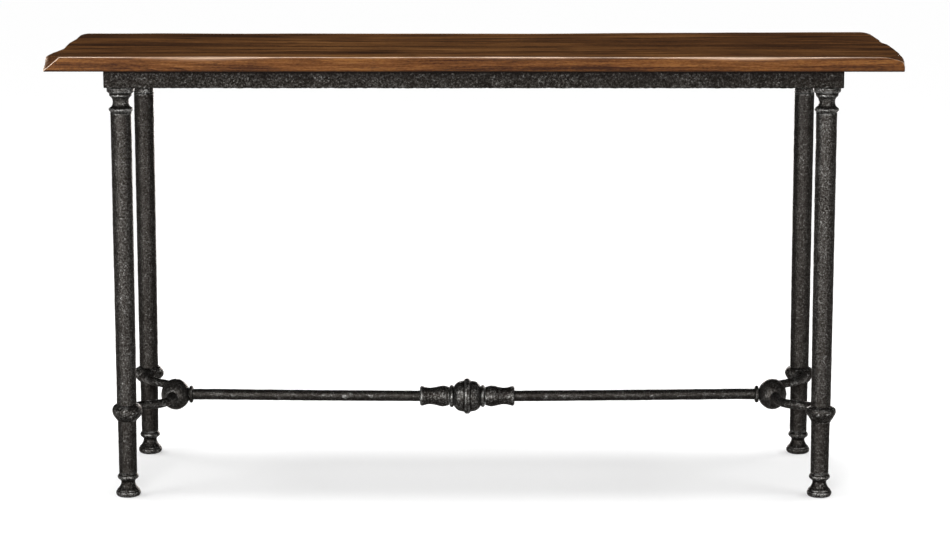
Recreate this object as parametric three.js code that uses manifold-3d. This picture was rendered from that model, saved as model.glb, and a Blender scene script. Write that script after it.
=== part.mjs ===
// Console table: a two-board walnut top on a cast and forged iron base.
// Millimetres, +Z up. The origin is on the floor under the middle of the top, +X right, +Y to the rear.
import * as THREE from 'three';
import { mergeVertices } from 'three/addons/utils/BufferGeometryUtils.js';
import Module from 'manifold-3d';

const wasm = await Module();
wasm.setup();

// Driving dimensions.
const GAP = 0.3; // clearance between neighbouring pieces
const TOP_LENGTH = 1524;
const TOP_DEPTH = 457;
const TOP_THICKNESS = 26;
const TABLE_HEIGHT = 813;
const SEAM_Y = -18; // where the front board meets the rear board
const EASED_EDGE = 2.2; // small bevel round each board outline
const LEFT_FACET = { width: 31, depth: 36, drop: 26 }; // knocked off the front left corner
const RIGHT_FACET = { width: 44, depth: 45, drop: 10 }; // the front right corner only droops
const RIGHT_BEVEL = { width: 7, drop: 5 }; // along the upper edge of the right end
const FRAME_LENGTH = 1321;
const FRAME_DEPTH = 380;
const FRAME_HEIGHT = 33.5; // outer height of the angle rails
const FLANGE_WIDTH = 34;
const IRON_THICKNESS = 4;
const PLATE_SIZE = 62;
const PLATE_THICKNESS = 5;
const PLATE_CUT = 26; // taken off the plate's inner corner
const LEG_X = 633.5;
const LEG_Y = 163.5;
const CAPITAL_HEIGHT = 45;
const SHAFT_TOP_RADIUS = 19;
const SHAFT_COLLAR_RADIUS = 18;
const SHAFT_NECK_RADIUS = 17.2; // reduced end of both shafts inside the collar
const UPPER_TENON_RADIUS = 11;
const UPPER_TENON_LENGTH = 18;
const COLLAR_TENON_LENGTH = 26;
const LOWER_SHAFT_RADIUS = 16.3;
const COLLAR_Z = 158;
const COLLAR_RADIUS = 26.9;
const COLLAR_EDGE_RADIUS = 18.6; // at its upper and lower rim
const COLLAR_HALF_HEIGHT = 13.3;
const FOOT_HEIGHT = 43;
const LEG_TENON_RADIUS = 9;
const FOOT_TENON_RADIUS = 7;
const FOOT_TENON_LENGTH = 20;
const ARM_RADIUS = 8.2;
const COLLAR_FLARE = { radius: 13.5, length: 17 }; // where an arm meets its collar
const BALL_FLARE = { radius: 10.8, length: 16 }; // where an arm meets its ball
const PEG_RADIUS = 5;
const PEG_ROOT = 14; // how deep a peg is buried in its arm
const COLLAR_PEG = -0.6; // the arm's centre line starts inside the collar, so its peg ends just short of it
const BALL_PEG = 10;
const BALL_X = 562;
const BALL_RADIUS = 29;
const BALL_FLATNESS = 0.93; // the balls are a little narrower along the stretcher
const STRETCHER_Z = 153;
const ROD_RADIUS = 10.1;
const ROD_SOCKET_END = 543; // how far from the middle each rod reaches into its ball
const FLANGE_RING_RADIUS = 16;
const FLANGE_RING_X = 531;
const FLANGE_RING_HALF_WIDTH = 3.2;
const KNOP_X = -12.5; // the centre casting sits a little left of the middle
const KNOP_SOCKET = 8; // how near each rod end comes to the knop's middle
const KNOP_RADIUS = 29.4;
const KNOP_RIB_RADIUS = 33.8;
const KNOP_HALF_LENGTH = 25;
const BEAD_START = 25.3; // measured from the knop's middle, like the next three
const BEAD_END = 33.6;
const BEAD_RADIUS = 21.3;
const SLEEVE_START = 33.9;
const SLEEVE_END = 89;
const BOLT_RADIUS = 4;
const BOLT_HEAD_RADIUS = 7.5;
const BOLT_HEAD_HEIGHT = 5.3;
const BOLT_DEPTH = 20; // how far the bolt reaches into the capital
const SCREW_RADIUS = 2.2;
const SCREW_DEPTH = 18; // how far a screw reaches into the wood
const SCREW_HEAD_RADIUS = 4.5;
const SCREW_HEAD_HEIGHT = 3;
const SCREW_SPACING = 430; // between screws along the front and rear rails
const END_SCREW_Y = 40;
const SCREW_INSET = 17; // from a rail's outer face
const END_CLEARANCE = 1; // left between the end of a tenon or bolt and the bottom of its hole
const OVERLAP = 1; // how far a cutting or joining solid runs past the face it meets

// Levels worked out from the driving dimensions.
const FRAME_TOP = TABLE_HEIGHT - TOP_THICKNESS - GAP;
const FRAME_BOTTOM = FRAME_TOP - FRAME_HEIGHT;
const PLATE_TOP = FRAME_BOTTOM + PLATE_THICKNESS;
const CAPITAL_TOP = FRAME_BOTTOM - GAP;
const CAPITAL_BOTTOM = CAPITAL_TOP - CAPITAL_HEIGHT;
const SHAFT_TOP = CAPITAL_BOTTOM - GAP;
const ROUND = 14; // sides of the turned pieces
const SMALL_ROUND = 8; // sides of the small round pieces and holes

const WALNUT = { color: 0x5a371e, roughness: 0.42, metalness: 0 };
const CAST_IRON = { color: 0x2a2a2b, roughness: 0.5, metalness: 0.8 };
const STEEL = { color: 0x4b4b4d, roughness: 0.4, metalness: 0.9 };

const table = new THREE.Group();

// Adds one named piece.
function add(name, geometry, look) {
  const mesh = new THREE.Mesh(geometry, new THREE.MeshStandardMaterial(look));
  mesh.name = name;
  table.add(mesh);
  return mesh;
}

// Turns a closed geometry into a solid that can be joined or cut.
function solid(geometry) {
  const bare = geometry.clone();
  bare.deleteAttribute('normal');
  bare.deleteAttribute('uv');
  const merged = mergeVertices(bare, 1e-4);
  const index = merged.getIndex().array;
  const triangles = [];
  for (let i = 0; i < index.length; i += 3) {
    const [a, b, c] = index.slice(i, i + 3);
    if (a !== b && b !== c && c !== a) triangles.push(a, b, c);
  }
  const vertProperties = new Float32Array(merged.getAttribute('position').array);
  const triVerts = new Uint32Array(triangles);
  return new wasm.Manifold(new wasm.Mesh({ numProp: 3, vertProperties, triVerts }));
}

// Turns a solid back into a geometry.
function geometryOf(manifold) {
  const { vertProperties, triVerts } = manifold.getMesh();
  const geometry = new THREE.BufferGeometry();
  geometry.setAttribute('position', new THREE.BufferAttribute(vertProperties, 3));
  geometry.setIndex(new THREE.BufferAttribute(triVerts, 1));
  geometry.computeVertexNormals();
  return geometry;
}

// A turned piece about the Z axis, from [radius, height] pairs.
function turned(profile, sides = ROUND) {
  const points = profile.map(([radius, height]) => new THREE.Vector2(radius, height));
  return new THREE.LatheGeometry(points, sides).rotateX(Math.PI / 2);
}

// A turned ring about the Z axis: the profile is closed on itself.
function turnedRing(profile, sides = ROUND) {
  return turned([...profile, profile[0]], sides);
}

// A solid cylinder from one point to another.
function cylinderBetween(start, end, radius, sides = SMALL_ROUND) {
  const axis = new THREE.Vector3().subVectors(end, start);
  const geometry = new THREE.CylinderGeometry(radius, radius, axis.length(), sides);
  const up = new THREE.Vector3(0, 1, 0);
  geometry.applyQuaternion(new THREE.Quaternion().setFromUnitVectors(up, axis.clone().normalize()));
  const middle = new THREE.Vector3().addVectors(start, end).multiplyScalar(0.5);
  geometry.translate(middle.x, middle.y, middle.z);
  return solid(geometry);
}

// A box between two corners.
function boxBetween(low, high) {
  const size = high.map((value, axis) => value - low[axis]);
  const middle = high.map((value, axis) => (value + low[axis]) / 2);
  return solid(new THREE.BoxGeometry(...size).translate(...middle));
}

function verticalPin(x, y, bottom, top, radius) {
  return cylinderBetween(new THREE.Vector3(x, y, bottom), new THREE.Vector3(x, y, top), radius);
}

// Where the wood screws stand: along the front and rear rails and in the middle of the end rails.
const SCREW_Y = FRAME_DEPTH / 2 - SCREW_INSET;
const SCREW_X = FRAME_LENGTH / 2 - SCREW_INSET;
const SCREWS = [
  ['front_left', -SCREW_SPACING, -SCREW_Y],
  ['front_middle', 0, -SCREW_Y],
  ['front_right', SCREW_SPACING, -SCREW_Y],
  ['rear_left', -SCREW_SPACING, SCREW_Y],
  ['rear_middle', 0, SCREW_Y],
  ['rear_right', SCREW_SPACING, SCREW_Y],
  ['end_left', -SCREW_X, END_SCREW_Y],
  ['end_right', SCREW_X, END_SCREW_Y],
];
const SCREW_TIP = FRAME_TOP + SCREW_DEPTH;
const SCREW_HEAD_TOP = FRAME_TOP - IRON_THICKNESS - GAP;

// How far the worked ends stand in from a straight cut, as [inset, y] pairs from front to rear:
// the left one has a shallow bay and the right one a small notch.
const LEFT_END = [[1, -190], [2, -140], [8, -60], [3, 20], [2, 100], [1, 190]];
const RIGHT_END = [[1, -190], [1, -100], [0, 0], [4, 50], [1, 100], [0, 190]];
const LONG_EDGE_STATIONS = 15;
const REAR_WAVE_SHIFT = 300; // the rear edge waves out of step with the front one
const CORNER_SHARE = 0.25; // how far a rear corner's curve is pulled out towards the square corner
const REAR_CORNER = 20; // size of the rounding in plan

// How far a long edge strays at one place along X.
function edgeWave(x) {
  return 1.3 * Math.sin(x / 118) + 0.9 * Math.sin(x / 53 + 1);
}

function longEdge(shape, y, direction, shift) {
  for (let i = 1; i < LONG_EDGE_STATIONS; i += 1) {
    const x = direction * (TOP_LENGTH / 2) * ((2 * i) / LONG_EDGE_STATIONS - 1);
    shape.lineTo(x, y + edgeWave(x + shift));
  }
}

// The outline of the whole top in plan. The long edges wave a little and the ends are hand worked.
function topOutline() {
  const halfLength = TOP_LENGTH / 2;
  const halfDepth = TOP_DEPTH / 2;
  const straight = halfDepth - EASED_EDGE; // leaves room for the wave within the depth
  const pull = REAR_CORNER * CORNER_SHARE;
  const right = RIGHT_END.map(([inset, y]) => new THREE.Vector2(halfLength - inset, y));
  const left = LEFT_END.map(([inset, y]) => new THREE.Vector2(-halfLength + inset, y)).reverse();
  const shape = new THREE.Shape();
  shape.moveTo(-halfLength, -straight);
  longEdge(shape, -straight, 1, 0);
  shape.lineTo(halfLength, -straight);
  shape.lineTo(right[0].x, right[0].y);
  shape.splineThru(right.slice(1));
  shape.quadraticCurveTo(halfLength - pull, halfDepth - pull, halfLength - REAR_CORNER, straight);
  longEdge(shape, straight, -1, REAR_WAVE_SHIFT);
  shape.lineTo(-halfLength + REAR_CORNER, straight);
  shape.quadraticCurveTo(-halfLength + pull, halfDepth - pull, left[0].x, left[0].y);
  shape.splineThru(left.slice(1));
  shape.closePath();
  return shape;
}

// A block lying on the plane that meets the top's upper front corner: it cuts away `width` along X,
// `depth` along Y and `drop` in height.
function cornerFacet(side, { width, depth, drop }) {
  const corner = new THREE.Vector3((side * TOP_LENGTH) / 2, -TOP_DEPTH / 2, TABLE_HEIGHT);
  const normal = new THREE.Vector3(side / width, -1 / depth, 1 / drop).normalize();
  const size = TOP_DEPTH;
  const block = new THREE.BoxGeometry(size, size, size).translate(0, 0, size / 2);
  block.applyQuaternion(new THREE.Quaternion().setFromUnitVectors(new THREE.Vector3(0, 0, 1), normal));
  block.translate(corner.x, corner.y, corner.z - drop);
  return solid(block);
}

// A tilted block that bevels the upper edge of the right end.
function rightEndBevel() {
  const { width, drop } = RIGHT_BEVEL;
  const size = 2 * TOP_DEPTH;
  const block = new THREE.BoxGeometry(size, size, size).translate(0, 0, size / 2);
  block.rotateY(Math.atan2(drop, width));
  block.translate(TOP_LENGTH / 2, 0, TABLE_HEIGHT - drop);
  return solid(block);
}

// The top as one slab with eased edges, its worked corners and its bevelled right end.
function topSlab() {
  const geometry = new THREE.ExtrudeGeometry(topOutline(), {
    depth: TOP_THICKNESS - 2 * EASED_EDGE,
    curveSegments: 3,
    bevelEnabled: true,
    bevelThickness: EASED_EDGE,
    bevelSize: EASED_EDGE,
    bevelOffset: -EASED_EDGE,
    bevelSegments: 1,
  });
  geometry.translate(0, 0, TABLE_HEIGHT - TOP_THICKNESS + EASED_EDGE);
  return solid(geometry)
    .subtract(cornerFacet(-1, LEFT_FACET))
    .subtract(cornerFacet(1, RIGHT_FACET))
    .subtract(rightEndBevel());
}

// One board: the slab between two depths, with a pilot hole for each screw under it.
function board(slab, low, high) {
  const top = TABLE_HEIGHT + OVERLAP;
  let result = slab.intersect(boxBetween([-TOP_LENGTH, low, 0], [TOP_LENGTH, high, top]));
  for (const [, x, y] of SCREWS) {
    if (y > low && y < high) {
      const hole = verticalPin(x, y, FRAME_TOP - OVERLAP, SCREW_TIP + GAP, SCREW_RADIUS + GAP);
      result = result.subtract(hole);
    }
  }
  return result;
}

function makeTop() {
  const slab = topSlab();
  add('top_board_front', geometryOf(board(slab, -TOP_DEPTH, SEAM_Y - GAP / 2)), WALNUT);
  add('top_board_rear', geometryOf(board(slab, SEAM_Y + GAP / 2, TOP_DEPTH)), WALNUT);
}

// A mitred bar with a level section, drawn in plan: `outer` is its outer half length, along X, with its
// outer edge on y = -reach.
function mitredBar(outer, reach, width, bottom, height) {
  const shape = new THREE.Shape();
  shape.moveTo(-outer, -reach);
  shape.lineTo(outer, -reach);
  shape.lineTo(outer - width, -reach + width);
  shape.lineTo(-outer + width, -reach + width);
  shape.closePath();
  const geometry = new THREE.ExtrudeGeometry(shape, { depth: height, bevelEnabled: false });
  return solid(geometry.translate(0, 0, bottom));
}

// One angle rail along X with its flange inwards under the wood, mitred at both ends.
function angleRail(length, depth) {
  const outer = length / 2 - GAP / 2;
  const reach = depth / 2;
  const web = mitredBar(outer, reach, IRON_THICKNESS, FRAME_BOTTOM, FRAME_HEIGHT);
  const flangeBottom = FRAME_TOP - IRON_THICKNESS;
  return web.add(mitredBar(outer, reach, FLANGE_WIDTH, flangeBottom, IRON_THICKNESS));
}

function makeFrame() {
  const rails = [
    ['front', angleRail(FRAME_LENGTH, FRAME_DEPTH), 0],
    ['rear', angleRail(FRAME_LENGTH, FRAME_DEPTH), 180],
    ['left', angleRail(FRAME_DEPTH, FRAME_LENGTH), -90],
    ['right', angleRail(FRAME_DEPTH, FRAME_LENGTH), 90],
  ];
  for (const [name, rail, degrees] of rails) {
    let piece = rail.rotate([0, 0, degrees]);
    for (const [, x, y] of SCREWS) {
      const low = FRAME_TOP - IRON_THICKNESS - OVERLAP;
      piece = piece.subtract(verticalPin(x, y, low, FRAME_TOP + OVERLAP, SCREW_RADIUS + 2 * GAP));
    }
    add(`frame_rail_${name}`, geometryOf(piece), CAST_IRON);
  }
}

// A plate welded inside one corner of the frame, with its inner corner cut off and a hole for the leg bolt.
function cornerPlate(sideX, sideY) {
  const outerX = FRAME_LENGTH / 2 - IRON_THICKNESS - GAP;
  const outerY = FRAME_DEPTH / 2 - IRON_THICKNESS - GAP;
  const corners = [
    [outerX, outerY],
    [outerX - PLATE_SIZE, outerY],
    [outerX - PLATE_SIZE, outerY - PLATE_SIZE + PLATE_CUT],
    [outerX - PLATE_SIZE + PLATE_CUT, outerY - PLATE_SIZE],
    [outerX, outerY - PLATE_SIZE],
  ];
  const points = corners.map(([reachX, reachY]) => new THREE.Vector2(sideX * reachX, sideY * reachY));
  const shape = new THREE.Shape(points);
  const blank = new THREE.ExtrudeGeometry(shape, { depth: PLATE_THICKNESS, bevelEnabled: false });
  const x = sideX * LEG_X;
  const y = sideY * LEG_Y;
  const hole = verticalPin(x, y, -OVERLAP, PLATE_THICKNESS + OVERLAP, BOLT_RADIUS + 2 * GAP);
  return geometryOf(solid(blank).subtract(hole)).translate(0, 0, FRAME_BOTTOM);
}

function legBolt() {
  const headBottom = PLATE_TOP + GAP;
  const head = new THREE.CylinderGeometry(BOLT_HEAD_RADIUS, BOLT_HEAD_RADIUS, BOLT_HEAD_HEIGHT, 6);
  head.rotateX(Math.PI / 2).translate(0, 0, headBottom + BOLT_HEAD_HEIGHT / 2);
  const shank = verticalPin(0, 0, CAPITAL_TOP - BOLT_DEPTH, headBottom + OVERLAP, BOLT_RADIUS);
  return geometryOf(solid(head).add(shank));
}

// Turned capital: a wide abacus, two coves, a bead and a socket for the shaft.
function capital() {
  const outline = [
    [19, 0], [21.5, 5], [20.3, 8.6], [16, 12.4], [14.8, 19], [15.7, 26],
    [19.6, 31], [20.4, 35], [24.6, 38], [24.6, CAPITAL_HEIGHT],
  ];
  const socketTop = UPPER_TENON_LENGTH + END_CLEARANCE;
  const boltHoleBottom = CAPITAL_HEIGHT - BOLT_DEPTH - END_CLEARANCE;
  return turned([
    [0, socketTop],
    [UPPER_TENON_RADIUS + GAP, socketTop],
    [UPPER_TENON_RADIUS + GAP, 0],
    ...outline,
    [BOLT_RADIUS + GAP, CAPITAL_HEIGHT],
    [BOLT_RADIUS + GAP, boltHoleBottom],
    [0, boltHoleBottom],
  ]);
}

// Long tapering shaft with a tenon at each end and a reduced neck inside the collar.
function upperShaft() {
  const neckTop = COLLAR_Z + COLLAR_HALF_HEIGHT + GAP;
  return turned([
    [0, COLLAR_Z - COLLAR_TENON_LENGTH],
    [LEG_TENON_RADIUS, COLLAR_Z - COLLAR_TENON_LENGTH],
    [LEG_TENON_RADIUS, COLLAR_Z + GAP],
    [SHAFT_NECK_RADIUS, COLLAR_Z + GAP],
    [SHAFT_NECK_RADIUS, neckTop],
    [SHAFT_COLLAR_RADIUS, neckTop + SHAFT_COLLAR_RADIUS - SHAFT_NECK_RADIUS],
    [SHAFT_TOP_RADIUS, SHAFT_TOP],
    [UPPER_TENON_RADIUS, SHAFT_TOP],
    [UPPER_TENON_RADIUS, SHAFT_TOP + UPPER_TENON_LENGTH],
    [0, SHAFT_TOP + UPPER_TENON_LENGTH],
  ]);
}

// Short tapering shaft below the collar, with a socket for the upper shaft's tenon.
function lowerShaft() {
  const socketBottom = COLLAR_Z - COLLAR_TENON_LENGTH - END_CLEARANCE;
  return turned([
    [0, FOOT_HEIGHT - FOOT_TENON_LENGTH],
    [FOOT_TENON_RADIUS, FOOT_HEIGHT - FOOT_TENON_LENGTH],
    [FOOT_TENON_RADIUS, FOOT_HEIGHT + GAP],
    [LOWER_SHAFT_RADIUS, FOOT_HEIGHT + GAP],
    [SHAFT_NECK_RADIUS, COLLAR_Z - COLLAR_HALF_HEIGHT],
    [SHAFT_NECK_RADIUS, COLLAR_Z],
    [LEG_TENON_RADIUS + GAP, COLLAR_Z],
    [LEG_TENON_RADIUS + GAP, socketBottom],
    [0, socketBottom],
  ]);
}

// The collar's bulging outer outline, grown by a clearance where a neighbour is fitted to it.
function collarOutline(growth = 0) {
  const steps = 6;
  const outline = [];
  for (let i = 0; i <= steps; i += 1) {
    const angle = Math.PI * (i / steps - 0.5);
    const bulge = (COLLAR_RADIUS - COLLAR_EDGE_RADIUS + growth) * Math.cos(angle);
    const radius = COLLAR_EDGE_RADIUS + bulge;
    outline.push([radius, (COLLAR_HALF_HEIGHT + growth) * Math.sin(angle)]);
  }
  return outline;
}

function collar() {
  const bore = SHAFT_NECK_RADIUS + GAP;
  return turnedRing([[bore, -COLLAR_HALF_HEIGHT], ...collarOutline(), [bore, COLLAR_HALF_HEIGHT]]);
}

function collarEnvelope() {
  const outline = collarOutline(GAP);
  return turned([[0, outline[0][1]], ...outline, [0, outline[outline.length - 1][1]]]);
}

// Turned foot: a flattened ball on the floor, a waist, a bead and a socket for the lower shaft.
function foot() {
  const socketBottom = FOOT_HEIGHT - FOOT_TENON_LENGTH - END_CLEARANCE;
  return turned([
    [0, 0], [17, 0], [21, 2.4], [22.4, 7], [20, 13.5], [15.6, 18],
    [12.6, 24.5], [13.4, 29.8], [19, 35.8], [18.4, 39.4], [16.3, FOOT_HEIGHT],
    [FOOT_TENON_RADIUS + GAP, FOOT_HEIGHT],
    [FOOT_TENON_RADIUS + GAP, socketBottom],
    [0, socketBottom],
  ]);
}

// The yoke at each end: two bent arms that join a ball to the pair of legs.
// Places on the centre line of the rear right yoke arm, from its collar to its ball.
const ARM_POINTS = [
  [LEG_X, 143, 156], [631, 123, 155], [617, 103, 154], [598, 91.5, 153.5],
  [581, 79, STRETCHER_Z], [570, 59.5, STRETCHER_Z], [564, 25, STRETCHER_Z],
];

// Centre line of one yoke arm.
function armPath(sideX, sideY) {
  const points = ARM_POINTS.map(([x, y, z]) => new THREE.Vector3(sideX * x, sideY * y, z));
  return new THREE.CatmullRomCurve3(points);
}

// A peg along the arm at one end: at = 0 is the collar end, at = 1 the ball end.
function armPeg(path, at, length, radius) {
  const outwards = path.getTangentAt(at).multiplyScalar(at === 0 ? -1 : 1);
  const middle = path.getPointAt(at);
  const start = middle.clone().addScaledVector(outwards, -PEG_ROOT);
  const end = middle.clone().addScaledVector(outwards, length);
  return cylinderBetween(start, end, radius);
}

// A short trumpet-shaped flare where the arm meets the collar or the ball. Its thin end is sunk in the arm.
function armFlare(path, at, { radius, length }) {
  const inwards = path.getTangentAt(at).multiplyScalar(at === 0 ? 1 : -1);
  const thin = ARM_RADIUS - GAP;
  const shoulder = [0.88 * radius, 0.45 * length];
  const geometry = turned([[0, 0], [radius, 0], shoulder, [thin, length], [0, length]], SMALL_ROUND);
  const up = new THREE.Vector3(0, 0, 1);
  geometry.applyQuaternion(new THREE.Quaternion().setFromUnitVectors(up, inwards));
  const place = path.getPointAt(at);
  return solid(geometry.translate(place.x, place.y, place.z));
}

function ballSolid(sideX, growth = 0) {
  const geometry = new THREE.SphereGeometry(BALL_RADIUS + growth, ROUND, 10).rotateX(Math.PI / 2);
  geometry.scale(BALL_FLATNESS, 1, 1).translate(sideX * BALL_X, 0, STRETCHER_Z);
  return solid(geometry);
}

function yokeArm(sideX, sideY) {
  const path = armPath(sideX, sideY);
  const section = new THREE.Shape();
  section.absarc(0, 0, ARM_RADIUS, 0, 2 * Math.PI, false);
  const bar = new THREE.ExtrudeGeometry(section, {
    steps: 11,
    curveSegments: SMALL_ROUND / 2,
    bevelEnabled: false,
    extrudePath: path,
  });
  const collarSpace = solid(collarEnvelope().translate(sideX * LEG_X, sideY * LEG_Y, COLLAR_Z));
  return solid(bar)
    .add(armFlare(path, 0, COLLAR_FLARE))
    .add(armFlare(path, 1, BALL_FLARE))
    .subtract(collarSpace)
    .subtract(ballSolid(sideX, GAP))
    .add(armPeg(path, 0, COLLAR_PEG, PEG_RADIUS))
    .add(armPeg(path, 1, BALL_PEG, PEG_RADIUS));
}

function yokeBall(sideX) {
  const axisStart = new THREE.Vector3(0, 0, STRETCHER_Z);
  const axisEnd = new THREE.Vector3(sideX * (ROD_SOCKET_END + GAP), 0, STRETCHER_Z);
  let ball = ballSolid(sideX).subtract(cylinderBetween(axisStart, axisEnd, ROD_RADIUS + GAP, ROUND));
  for (const sideY of [-1, 1]) {
    ball = ball.subtract(armPeg(armPath(sideX, sideY), 1, BALL_PEG + GAP, PEG_RADIUS + GAP));
  }
  return ball;
}

function makeLegs() {
  for (const [end, sideX] of [['left', -1], ['right', 1]]) {
    for (const [edge, sideY] of [['front', -1], ['rear', 1]]) {
      const x = sideX * LEG_X;
      const y = sideY * LEG_Y;
      const place = `${edge}_${end}`;
      const socket = armPeg(armPath(sideX, sideY), 0, COLLAR_PEG + GAP, PEG_RADIUS + GAP);
      const ring = solid(collar().translate(x, y, COLLAR_Z)).subtract(socket);
      add(`corner_plate_${place}`, cornerPlate(sideX, sideY), CAST_IRON);
      add(`leg_bolt_${place}`, legBolt(), STEEL).position.set(x, y, 0);
      add(`leg_capital_${place}`, capital(), CAST_IRON).position.set(x, y, CAPITAL_BOTTOM);
      add(`leg_upper_shaft_${place}`, upperShaft(), CAST_IRON).position.set(x, y, 0);
      add(`leg_collar_${place}`, geometryOf(ring), CAST_IRON);
      add(`leg_lower_shaft_${place}`, lowerShaft(), CAST_IRON).position.set(x, y, 0);
      add(`leg_foot_${place}`, foot(), CAST_IRON).position.set(x, y, 0);
      add(`yoke_arm_${place}`, geometryOf(yokeArm(sideX, sideY)), CAST_IRON);
    }
  }
}

// Lays a piece turned about Z along the stretcher: its far end points away from the knop on that side.
function layAlongStretcher(mesh, side, x) {
  mesh.rotation.y = (side * Math.PI) / 2;
  mesh.position.set(x, 0, STRETCHER_Z);
}

function stretcherKnop() {
  const half = KNOP_HALF_LENGTH;
  const bore = ROD_RADIUS + GAP;
  const web = KNOP_SOCKET - GAP; // half the metal left between the two rod ends
  const outline = [
    [19, -half], [27, -17], [KNOP_RADIUS, -6.4], [KNOP_RIB_RADIUS, -3.6],
    [KNOP_RIB_RADIUS, 3.6], [KNOP_RADIUS, 6.4], [27, 17], [19, half],
  ];
  return turned([
    [0, -web], [bore, -web], [bore, -half],
    ...outline,
    [bore, half], [bore, web], [0, web],
  ]);
}

function beadRing() {
  const bore = ROD_RADIUS + GAP;
  return turnedRing([
    [bore, BEAD_START], [18.4, BEAD_START], [BEAD_RADIUS, 27.4],
    [BEAD_RADIUS, 31.2], [18, BEAD_END], [bore, BEAD_END],
  ]);
}

function stretcherSleeve() {
  const bore = ROD_RADIUS + GAP;
  return turnedRing([
    [bore, SLEEVE_START], [17.6, SLEEVE_START], [17.8, 38], [20, 46], [17.8, 57], [15.7, 70],
    [18.6, 84], [18, SLEEVE_END], [bore, SLEEVE_END],
  ]);
}

function flangeRing() {
  const bore = ROD_RADIUS + GAP;
  const half = FLANGE_RING_HALF_WIDTH;
  return turnedRing([
    [bore, -half], [0.9 * FLANGE_RING_RADIUS, -half], [FLANGE_RING_RADIUS, -0.45 * half],
    [FLANGE_RING_RADIUS, 0.45 * half], [0.9 * FLANGE_RING_RADIUS, half], [bore, half],
  ]);
}

function stretcherRod(side) {
  const inner = KNOP_X + side * KNOP_SOCKET;
  const outer = side * ROD_SOCKET_END;
  const start = new THREE.Vector3(inner, 0, STRETCHER_Z);
  const end = new THREE.Vector3(outer, 0, STRETCHER_Z);
  return cylinderBetween(start, end, ROD_RADIUS, ROUND);
}

function makeStretcher() {
  layAlongStretcher(add('stretcher_knop', stretcherKnop(), CAST_IRON), 1, KNOP_X);
  for (const [end, side] of [['left', -1], ['right', 1]]) {
    add(`yoke_ball_${end}`, geometryOf(yokeBall(side)), CAST_IRON);
    add(`stretcher_rod_${end}`, geometryOf(stretcherRod(side)), CAST_IRON);
    layAlongStretcher(add(`stretcher_bead_${end}`, beadRing(), CAST_IRON), side, KNOP_X);
    layAlongStretcher(add(`stretcher_sleeve_${end}`, stretcherSleeve(), CAST_IRON), side, KNOP_X);
    layAlongStretcher(add(`stretcher_flange_${end}`, flangeRing(), CAST_IRON), side, side * FLANGE_RING_X);
  }
}

// Pan-head wood screw, point up.
function woodScrew() {
  const underHead = SCREW_HEAD_TOP;
  return turned([
    [0, underHead - SCREW_HEAD_HEIGHT], [0.75 * SCREW_HEAD_RADIUS, underHead - SCREW_HEAD_HEIGHT],
    [SCREW_HEAD_RADIUS, underHead - SCREW_HEAD_HEIGHT / 3], [SCREW_HEAD_RADIUS, underHead],
    [SCREW_RADIUS, underHead], [SCREW_RADIUS, SCREW_TIP - 2 * SCREW_RADIUS], [0, SCREW_TIP],
  ], SMALL_ROUND);
}

function makeScrews() {
  for (const [place, x, y] of SCREWS) {
    add(`top_screw_${place}`, woodScrew(), STEEL).position.set(x, y, 0);
  }
}

makeTop();
makeFrame();
makeLegs();
makeStretcher();
makeScrews();

export default table;
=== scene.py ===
import math

import bpy
import numpy as np
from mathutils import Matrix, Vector


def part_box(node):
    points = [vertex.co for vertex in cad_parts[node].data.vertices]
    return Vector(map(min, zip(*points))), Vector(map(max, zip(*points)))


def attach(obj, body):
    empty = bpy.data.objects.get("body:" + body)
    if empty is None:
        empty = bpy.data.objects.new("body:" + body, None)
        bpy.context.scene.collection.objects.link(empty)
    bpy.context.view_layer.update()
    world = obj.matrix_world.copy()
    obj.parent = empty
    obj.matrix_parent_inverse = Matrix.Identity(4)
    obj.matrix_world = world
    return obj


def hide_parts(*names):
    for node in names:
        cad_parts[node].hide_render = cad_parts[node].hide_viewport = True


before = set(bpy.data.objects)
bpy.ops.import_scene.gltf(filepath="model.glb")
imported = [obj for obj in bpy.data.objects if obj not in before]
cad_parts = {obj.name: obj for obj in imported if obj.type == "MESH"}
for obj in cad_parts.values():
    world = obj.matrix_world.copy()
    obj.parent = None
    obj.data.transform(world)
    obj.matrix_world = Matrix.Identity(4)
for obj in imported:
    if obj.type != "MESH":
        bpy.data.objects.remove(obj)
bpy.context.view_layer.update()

# A console table: a walnut top with hand-worked edges on a blackened cast and forged iron base.
# Everything is in metres. Places come from the CAD nodes' boxes, profiles are in millimetres.
BODY = "root"
MM = 0.001
PLACES = ["front_left", "front_right", "rear_left", "rear_right"]
ENDS = {"left": -1, "right": 1}


# ---------------------------------------------------------------- noise

MASK = 0xFFFFFFFF


def hashed(ix, iy, iz, seed):
    """A repeatable number from 0 to 1 for each lattice point."""
    h = (ix * 374761393 + iy * 668265263 + iz * 1440662683 + seed * 1274126177) & MASK
    h = ((h ^ (h >> 13)) * 1103515245) & MASK
    h = ((h ^ (h >> 16)) * 214013 + 2531011) & MASK
    return (h ^ (h >> 15)) / MASK


def lumps(points, size, seed):
    """Smooth noise from -1 to 1 with lumps of about that size."""
    scaled = points / size
    cell = np.floor(scaled).astype(np.int64)
    t = scaled - cell
    t = t * t * (3 - 2 * t)
    total = np.zeros(len(points))
    for dx in (0, 1):
        for dy in (0, 1):
            for dz in (0, 1):
                wx = t[:, 0] if dx else 1 - t[:, 0]
                wy = t[:, 1] if dy else 1 - t[:, 1]
                wz = t[:, 2] if dz else 1 - t[:, 2]
                total += wx * wy * wz * hashed(cell[:, 0] + dx, cell[:, 1] + dy, cell[:, 2] + dz, seed)
    return 2 * total - 1


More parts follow.
